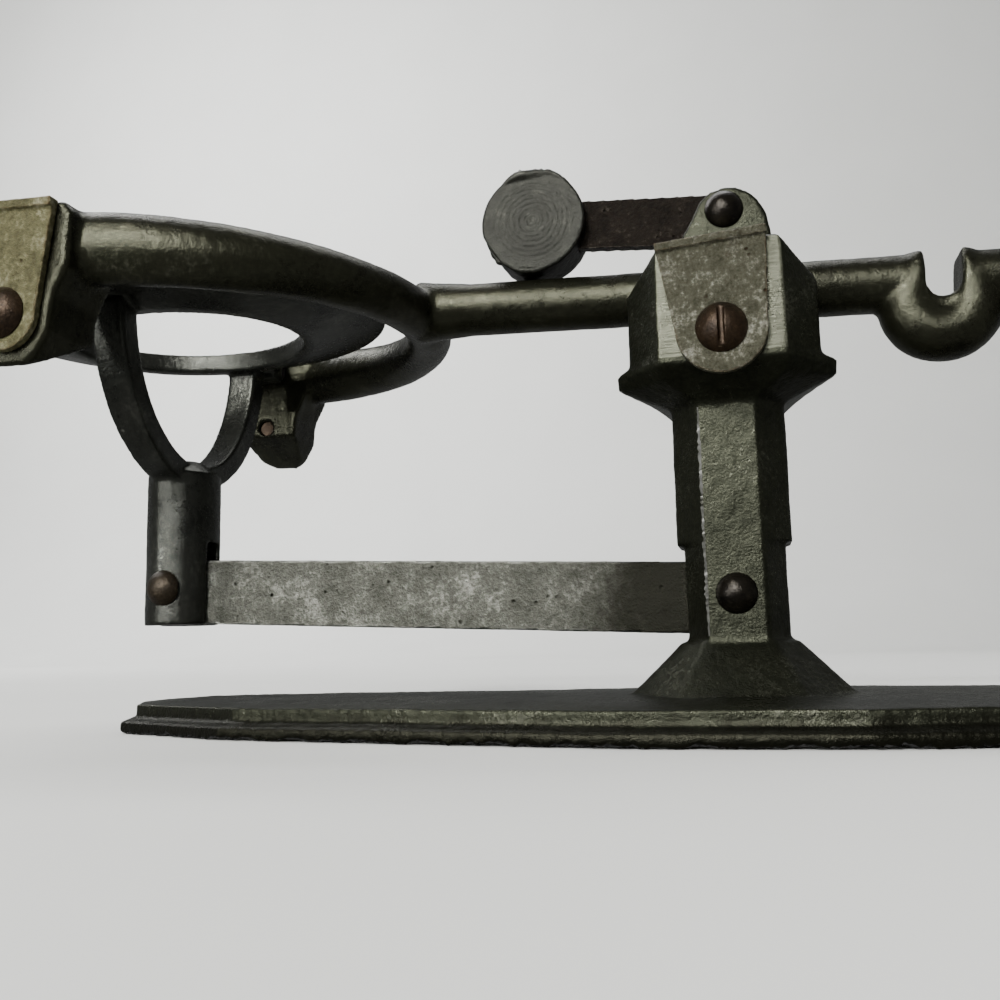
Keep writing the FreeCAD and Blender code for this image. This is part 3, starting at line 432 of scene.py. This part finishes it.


# The band given last below is painted shade: it darkens the lowest few millimetres of the base,
# where it meets the floor.
dark_casting = metal_finish(
    "dark_casting", (0.011, 0.012, 0.007, 1), (0.032, 0.034, 0.022, 1),
    (0.15, 0.152, 0.116, 1), (0.36, 0.36, 0.3, 1), metallic=0.85, rough=(0.36, 0.19),
    cloud=90.0, speck=1500.0, balance=0.47, edge=(0.8, 0.95), bump=0.35,
    filed=((0.012, 0.013, 0.008, 1), (0.14, 0.144, 0.105, 1)),
    stains_and_shade=(((0.0, -1.0), -0.0045, -0.0015, 1.4, 320.0, (0.012, 0.012, 0.007, 1)),))
stand = cast_skin("stand", 0.0004, 3, 0.00028, 0.00012)
ragged_foot(stand, 0.0016, 0.0011)
finish_node("stand", dark_casting)


# ---------------------------------------------------------------- parting line
# Thin fin of metal along the left front edge of the pillar, where the halves of the mould
# met.  It was knocked off rather than filed, and is rubbed bright.
def skin_rows(name, rows, build):
    """Close a run of rings of points into one solid piece."""
    around = len(rows[0])
    for low, high in zip(rows, rows[1:]):
        for a in range(around):
            b = (a + 1) % around
            build.faces.new((low[a], low[b], high[b], high[a]))
    build.faces.new(tuple(reversed(rows[0])))
    build.faces.new(tuple(rows[-1]))
    bmesh.ops.recalc_face_normals(build, faces=build.faces)
    mesh = bpy.data.meshes.new(name)
    build.to_mesh(mesh)
    build.free()
    made = bpy.data.objects.new(name, mesh)
    bpy.context.scene.collection.objects.link(made)
    return made


def parting_line(name, foot, head, out, count, seed):
    """Irregular three sided fin from foot to head; out is the way it stands out."""
    draw = random.Random(seed)
    build = bmesh.new()
    run = (head - foot).normalized()
    side = run.cross(out).normalized()
    rows = []
    for step in range(count + 1):
        share = step / count
        middle = foot.lerp(head, share)
        fade = min(1.0, 6.0 * share, 6.0 * (1.0 - share))
        tall = (0.00012 + 0.00028 * draw.random() ** 2) * fade + 0.00001
        wide = (0.00016 + 0.00012 * draw.random()) * (0.4 + 0.6 * fade)
        rows.append([build.verts.new(middle - side * wide - out * 0.0003),
                     build.verts.new(middle + out * tall + side * (draw.random() - 0.5) * wide),
                     build.verts.new(middle + side * wide - out * 0.0003)])
    return skin_rows(name, rows, build)


rubbed_fin = metal_finish(
    "rubbed_fin", (0.05, 0.05, 0.04, 1), (0.18, 0.18, 0.15, 1), (0.6, 0.6, 0.54, 1),
    (0.7, 0.7, 0.66, 1), metallic=0.9, rough=(0.45, 0.25), cloud=500.0, speck=2500.0,
    balance=0.5, bump=0.2)
FIN_FOOT = Vector((-0.0043, -0.0084, 0.0135))
FIN_HEAD = Vector((-0.0043, -0.0084, 0.0475))
FIN_OUT = Vector((-0.6, -0.8, 0.0))
fin = parting_line("pillar_parting_fin", FIN_FOOT, FIN_HEAD, FIN_OUT, count=90, seed=11)
fin.data.materials.append(rubbed_fin)
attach(fin, "stand")


# ---------------------------------------------------------------- beam
# Round bar cast in one with the half oval yoke, its two lugs, the U shaped dip for the
# hanger and the counterweight at the right end.  Same alloy, smoother from handling.
beam_casting = metal_finish(
    "beam_casting", (0.012, 0.012, 0.007, 1), (0.036, 0.037, 0.023, 1),
    (0.17, 0.17, 0.13, 1), (0.36, 0.36, 0.3, 1), metallic=0.82, rough=(0.3, 0.15),
    cloud=110.0, speck=1300.0, balance=0.44, edge=(0.6, 0.7), bump=0.25)
cast_skin("beam", 0.0005, 3, 0.0003, 0.0001)
finish_node("beam", beam_casting)


# ---------------------------------------------------------------- egg holder
# Dished oval ring with its fork and slotted post, one casting hung on two knife edges.
# Thinner than the beam and a little bluer, and smooth from washing and handling.
holder_casting = metal_finish(
    "holder_casting", (0.02, 0.021, 0.018, 1), (0.05, 0.052, 0.044, 1),
    (0.18, 0.183, 0.16, 1), (0.4, 0.4, 0.36, 1), metallic=0.85, rough=(0.3, 0.16),
    cloud=130.0, speck=1300.0, balance=0.46, edge=(0.6, 0.7), bump=0.25)
cast_skin("egg_holder", 0.0004, 3, 0.0002, 0.00008)
finish_node("egg_holder", holder_casting)


# ---------------------------------------------------------------- check link
# Thin flat bar, die cast, riveted at both ends.  Left plain on both faces.  Painted shade
# darkens it towards the pillar, and it is also darker at its end by the post.
link_casting = metal_finish(
    "link_casting", (0.035, 0.036, 0.028, 1), (0.13, 0.132, 0.11, 1),
    (0.5, 0.5, 0.44, 1), (0.62, 0.62, 0.56, 1), metallic=0.85, rough=(0.42, 0.24),
    cloud=180.0, speck=1300.0, balance=0.5, edge=(0.515, 0.56), pit=500.0, pit_depth=1.2,
    bump=0.8, stains_and_shade=(((1.0, 0.0), -0.036, -0.010, 0.9, 240.0, (0.02, 0.02, 0.014, 1)),
                      ((-1.0, 0.0), 0.088, 0.100, 0.8, 240.0, (0.03, 0.03, 0.022, 1))))
cast_skin("check_link", 0.00035, 1, 0.00012, 0.0001)
finish_node("check_link", link_casting)


# ---------------------------------------------------------------- cover plates
# Cut from steel sheet and bent over at the top, one screw each.  They keep dirt out of the
# bearings and stop the knife edges from sliding endways.
plate_steel = metal_finish(
    "plate_steel", (0.026, 0.024, 0.013, 1), (0.115, 0.113, 0.078, 1), (0.68, 0.67, 0.56, 1),
    (0.13, 0.085, 0.045, 1), metallic=0.75, rough=(0.5, 0.24), cloud=420.0, speck=1500.0,
    balance=0.5, edge=(0.52, 0.57), pit=600.0, pit_depth=1.4, bump=1.2,
    pit_colour=(0.06, 0.03, 0.014, 1),
    stains_and_shade=(((0.0, 1.0), 0.062, 0.086, 2.2, 420.0, (0.04, 0.036, 0.02, 1)),
            ((0.0, 1.0), 0.0795, 0.0815, 1.5, 420.0, (0.1, 0.045, 0.016, 1))))
yoke_plate_steel = metal_finish(
    "yoke_plate_steel", (0.034, 0.031, 0.014, 1), (0.14, 0.132, 0.066, 1),
    (0.42, 0.4, 0.27, 1), (0.15, 0.1, 0.05, 1), metallic=0.75, rough=(0.46, 0.24),
    cloud=300.0, speck=1300.0, balance=0.5, edge=(0.52, 0.57), pit=600.0, pit_depth=1.2,
    bump=1.0, pit_colour=(0.07, 0.04, 0.02, 1),
    stains_and_shade=(((0.0, 1.0), 0.074, 0.0855, 1.6, 240.0, (0.075, 0.055, 0.022, 1)),))
for end in ("front", "rear"):
    for place, steel in (("head", plate_steel), ("yoke", yoke_plate_steel)):
        cast_skin("%s_plate_%s" % (place, end), 0.00022, 2, 0.00012, 0.00005)
        finish_node("%s_plate_%s" % (place, end), steel)


# ---------------------------------------------------------------- screws
# Slotted round head steel screws that hold the cover plates, rusted brown and polished by
# the screwdriver.
rusty_screw = metal_finish(
    "rusty_screw", (0.01, 0.006, 0.003, 1), (0.035, 0.021, 0.011, 1),
    (0.11, 0.075, 0.045, 1), (0.24, 0.19, 0.13, 1), metallic=0.7, rough=(0.4, 0.24),
    cloud=420.0, speck=2400.0, balance=0.46, pit=900.0, edge=(0.75, 0.9), bump=0.3)
for end in ("front", "rear"):
    for place in ("head", "yoke"):
        cast_skin("%s_screw_%s" % (place, end), 0.00016, 2, 0.0001, 0.00004)
        finish_node("%s_screw_%s" % (place, end), rusty_screw)


# ---------------------------------------------------------------- rivets
# Soft steel rivets with domed heads, hammered over at both ends.  They are the pivots of
# the check link and of the flip arm.
rivet_steel = metal_finish(
    "rivet_steel", (0.006, 0.005, 0.004, 1), (0.02, 0.017, 0.012, 1),
    (0.08, 0.066, 0.048, 1), (0.22, 0.19, 0.15, 1), metallic=0.75, rough=(0.26, 0.12),
    cloud=400.0, speck=2400.0, balance=0.43, pit=900.0, edge=(0.75, 0.9), bump=0.2)
brown_rivet = metal_finish(
    "brown_rivet", (0.012, 0.009, 0.005, 1), (0.038, 0.029, 0.018, 1),
    (0.12, 0.095, 0.065, 1), (0.26, 0.22, 0.16, 1), metallic=0.7, rough=(0.42, 0.26),
    cloud=400.0, speck=2400.0, balance=0.48, pit=900.0, edge=(0.75, 0.9), bump=0.3)
for rivet, steel in (("pillar_rivet", rivet_steel), ("flip_rivet", rivet_steel),
                     ("post_rivet", brown_rivet)):
    cast_skin(rivet, 0.0002, 1, 0.00015, 0.00004)
    finish_node(rivet, steel)


# ---------------------------------------------------------------- knife edges and bearings
# Hardened steel bars ground to an edge, standing in vee blocks let into the castings.
# Hardly any of them shows once the cover plates are on.
ground_steel = metal_finish(
    "ground_steel", (0.2, 0.2, 0.19, 1), (0.4, 0.4, 0.39, 1), (0.6, 0.6, 0.58, 1),
    (0.7, 0.7, 0.68, 1), metallic=1.0, rough=(0.42, 0.25), cloud=300.0, speck=3000.0,
    balance=0.55, bump=0.1)
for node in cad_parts:
    if "knife" in node or "bearing" in node:
        finish_node(node, ground_steel)


# ---------------------------------------------------------------- flip arm
# Strip of steel that turns on the ear rivet and carries the flip weight.  It is rusted
# brown and pitted.
rusty_arm = metal_finish(
    "rusty_arm", (0.008, 0.006, 0.004, 1), (0.03, 0.023, 0.017, 1),
    (0.26, 0.225, 0.19, 1), (0.34, 0.3, 0.25, 1), metallic=0.65, rough=(0.42, 0.2),
    cloud=500.0, speck=1300.0, balance=0.45, pit=700.0, pit_depth=1.6, bump=1.6)
cast_skin("flip_arm", 0.0002, 2, 0.00012, 0.00015)
finish_node("flip_arm", rusty_arm)


# ---------------------------------------------------------------- flip weight
# Thick disc cast on the end of the arm and faced in a lathe, with rough metal left on its
# rim at the top and a torn spot at the lower left.
pewter = metal_finish(
    "pewter", (0.006, 0.006, 0.004, 1), (0.012, 0.0125, 0.009, 1), (0.05, 0.05, 0.04, 1),
    (0.14, 0.14, 0.12, 1), metallic=0.75, rough=(0.4, 0.26), cloud=240.0, speck=1500.0,
    balance=0.45, pit=700.0, bump=0.3)


DISC_RADIUS = 0.0087
TURNED_RADIUS = 0.0068
RIM_SEAT = 0.00855


def lathe_marks(piece, middle, pitch, depth, burrs):
    """Rings turned into both faces of the disc, and lumps or chips round its rim."""
    tree, taken, given = new_wear("lathe_marks")

    def maths(kind, one, two=None):
        made = tree.nodes.new("ShaderNodeMath")
        made.operation = kind
        for index, value in enumerate((one, two)):
            if isinstance(value, (int, float)):
                made.inputs[index].default_value = value
            elif value is not None:
                tree.links.new(value, made.inputs[index])
        return made.outputs[0]

    place = tree.nodes.new("GeometryNodeInputPosition").outputs[0]
    facing = tree.nodes.new("GeometryNodeInputNormal").outputs[0]
    away = tree.nodes.new("ShaderNodeVectorMath")
    away.operation = "SUBTRACT"
    tree.links.new(place, away.inputs[0])
    away.inputs[1].default_value = middle
    spot = tree.nodes.new("ShaderNodeSeparateXYZ")
    tree.links.new(away.outputs[0], spot.inputs[0])
    across, upward = spot.outputs["X"], spot.outputs["Z"]
    radius = maths("SQRT", maths("ADD", maths("MULTIPLY", across, across),
                                 maths("MULTIPLY", upward, upward)))
    noise = tree.nodes.new("ShaderNodeTexNoise")
    noise.inputs["Scale"].default_value = 240.0
    noise.inputs["Detail"].default_value = 4.0
    tree.links.new(place, noise.inputs["Vector"])
    wander = maths("MULTIPLY", noise.outputs[0], 5.0)
    wave = maths("SINE", maths("ADD", maths("MULTIPLY", radius, 6.2832 / pitch), wander))
    side = tree.nodes.new("ShaderNodeSeparateXYZ")
    tree.links.new(facing, side.inputs[0])
    flat = maths("GREATER_THAN", maths("ABSOLUTE", side.outputs["Y"]), 0.9)
    inner = maths("LESS_THAN", radius, TURNED_RADIUS)
    rings = maths("MULTIPLY", maths("MULTIPLY", wave, depth), maths("MULTIPLY", flat, inner))
    total = rings
    for angle, spread, amount in burrs:
        lean = maths("ADD", maths("MULTIPLY", across, math.cos(math.radians(angle))),
                     maths("MULTIPLY", upward, math.sin(math.radians(angle))))
        share = tree.nodes.new("ShaderNodeMapRange")
        share.inputs["From Min"].default_value = DISC_RADIUS * math.cos(math.radians(spread))
        share.inputs["From Max"].default_value = DISC_RADIUS
        tree.links.new(lean, share.inputs["Value"])
        rough = maths("MULTIPLY", maths("SUBTRACT", noise.outputs[0], 0.25), amount * 2.0)
        total = maths("ADD", total, maths("MULTIPLY", share.outputs[0], rough))
    push = tree.nodes.new("ShaderNodeVectorMath")
    push.operation = "SCALE"
    tree.links.new(facing, push.inputs[0])
    tree.links.new(total, push.inputs["Scale"])
    move = tree.nodes.new("GeometryNodeSetPosition")
    tree.links.new(taken.outputs[0], move.inputs["Geometry"])
    tree.links.new(push.outputs[0], move.inputs["Offset"])
    tree.links.new(move.outputs[0], given.inputs[0])
    made = piece.modifiers.new("lathe_marks", "NODES")
    made.node_group = tree


weight = cast_skin("flip_weight", 0.00022, 2, 0.00015, 0.0001)
weight_low, weight_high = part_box("flip_weight")
lathe_marks(weight, (weight_low + weight_high) / 2, 0.00085, 0.00005,
            ((95.0, 34.0, 0.0010), (62.0, 20.0, 0.0007), (212.0, 22.0, -0.0010),
             (262.0, 24.0, 0.0006)))
finish_node("flip_weight", pewter)


def ragged_flash(name, middle, radius, first, last, count, tall, half, seed):
    """Torn edge of metal left on the rim where the mould leaked; angles in degrees."""
    draw = random.Random(seed)
    build = bmesh.new()
    rows = []
    height = 0.5
    for step in range(count + 1):
        share = step / count
        angle = math.radians(first + (last - first) * share)
        height += (draw.random() - 0.5) * 0.75
        height = max(0.15, min(1.0, height))
        fade = min(1.0, 7.0 * share, 7.0 * (1.0 - share))
        out = radius + tall * height * fade
        row = []
        for reach, y in ((radius - 0.0012, -half), (out - 0.0002, -half * 0.75),
                         (out, -half * (0.1 + 0.3 * draw.random())), (out - 0.0003, half),
                         (radius - 0.0012, half * 1.2)):
            row.append(build.verts.new(middle + Vector((
                reach * math.cos(angle), y + 0.0002 * draw.random(), reach * math.sin(angle)))))
        rows.append(row)
    made = skin_rows(name, rows, build)
    soft = made.modifiers.new("soft", "SUBSURF")
    soft.levels = 1
    soft.render_levels = 1
    made.data.materials.append(pewter)
    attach(made, "flip")
    return made


disc_middle = (weight_low + weight_high) / 2
disc_middle.y = weight_low.y
ragged_flash("disc_flash_top", disc_middle + Vector((0.0, 0.0016, 0.0)), RIM_SEAT,
             first=58.0, last=122.0, count=26, tall=0.0019, half=0.0015, seed=5)
ragged_flash("disc_flash_left", disc_middle + Vector((0.0, 0.0012, 0.0)), RIM_SEAT,
             first=196.0, last=232.0, count=14, tall=0.0007, half=0.001, seed=8)


# ---------------------------------------------------------------- table and light
# Plain pale floor that rises into a backdrop far behind.  Two soft lamps stand above the
# front, one low at the front left, one over the rear, and one lights the backdrop.  The floor
# is left out of mirror reflections, which keeps the undersides dark.
def pale_sheet():
    """Floor and backdrop in one bent sheet."""
    mesh = bpy.data.meshes.new("pale_floor")
    build = bmesh.new()
    outline = [(-3.0, 0.0)]
    rise, back = 0.5, 0.9
    for step in range(17):
        turn = math.radians(90.0 * step / 16)
        outline.append((back + rise * math.sin(turn), rise - rise * math.cos(turn)))
    outline.append((back + rise, 3.0))
    rows = []
    for y, z in outline:
        rows.append([build.verts.new((x, y, z - 0.0001)) for x in (-4.0, 4.0)])
    for low, high in zip(rows, rows[1:]):
        build.faces.new((low[0], low[1], high[1], high[0]))
    build.to_mesh(mesh)
    build.free()
    for face in mesh.polygons:
        face.use_smooth = True
    made = bpy.data.objects.new("pale_floor", mesh)
    bpy.context.scene.collection.objects.link(made)
    return made


floor = pale_sheet()
paper = bpy.data.materials.new("paper")
paper.use_nodes = True
paper_shader = paper.node_tree.nodes["Principled BSDF"]
paper_shader.inputs["Roughness"].default_value = 0.85
paper_noise = add_node(paper.node_tree, "ShaderNodeTexNoise", Scale=9.0, Detail=2.0)
paper_place = add_node(paper.node_tree, "ShaderNodeTexCoord")
paper.node_tree.links.new(paper_place.outputs["Object"], paper_noise.inputs["Vector"])
paper.node_tree.links.new(
    blend_colours(paper.node_tree, paper_noise.outputs["Fac"], (0.74, 0.745, 0.72, 1),
                  (0.8, 0.805, 0.78, 1)), paper_shader.inputs["Base Color"])
floor.data.materials.append(paper)


def soft_lamp(name, place, aim, wide, tall, power, tint=(1.0, 1.0, 1.0)):
    """Oblong area lamp turned to its aim."""
    lamp = bpy.data.lights.new(name, "AREA")
    lamp.shape = "RECTANGLE"
    lamp.size = wide
    lamp.size_y = tall
    lamp.energy = power
    lamp.color = tint
    made = bpy.data.objects.new(name, lamp)
    made.location = place
    made.rotation_euler = (Vector(aim) - Vector(place)).to_track_quat("-Z", "Y").to_euler()
    bpy.context.scene.collection.objects.link(made)
    return made


floor.visible_glossy = False
middle = (-0.03, 0.0, 0.045)
soft_lamp("key_lamp", (-0.2, -0.62, 0.5), middle, 0.16, 0.12, 5.0, (1.0, 0.99, 0.96))
soft_lamp("front_lamp", (-0.12, -0.86, 0.38), middle, 0.34, 0.05, 6.0)
soft_lamp("side_lamp", (-0.62, -0.82, 0.13), middle, 0.08, 0.3, 4.0)
soft_lamp("top_lamp", (-0.15, 0.3, 0.9), middle, 0.7, 0.4, 3.0)
soft_lamp("backdrop_lamp", (-0.9, 0.4, 1.0), (-0.6, 1.4, 0.5), 0.8, 0.6, 26.0)

world = bpy.data.worlds.new("room")
world.use_nodes = True
world.node_tree.nodes["Background"].inputs["Color"].default_value = (0.8, 0.81, 0.8, 1)
world.node_tree.nodes["Background"].inputs["Strength"].default_value = 0.24
bpy.context.scene.world = world


# ---------------------------------------------------------------- camera
# Close to the front, a little above the base and looking slightly up at the beam.  The two
# directions are those of the picture's right and top edges.
right = Vector((0.96978, 0.24302, -0.02180))
upward = Vector((0.05584, -0.13409, 0.98939))
forward = right.cross(upward) * -1.0
camera = bpy.data.cameras.new("camera")
camera.sensor_width = 36.0
camera.lens = 36.21
camera.clip_start = 0.005
camera_piece = bpy.data.objects.new("camera", camera)
turn = Matrix((right, upward, -forward)).transposed()
camera_piece.matrix_world = Matrix.Translation((0.002107, -0.158463, 0.012747)) @ turn.to_4x4()
bpy.context.scene.collection.objects.link(camera_piece)
bpy.context.scene.camera = camera_piece
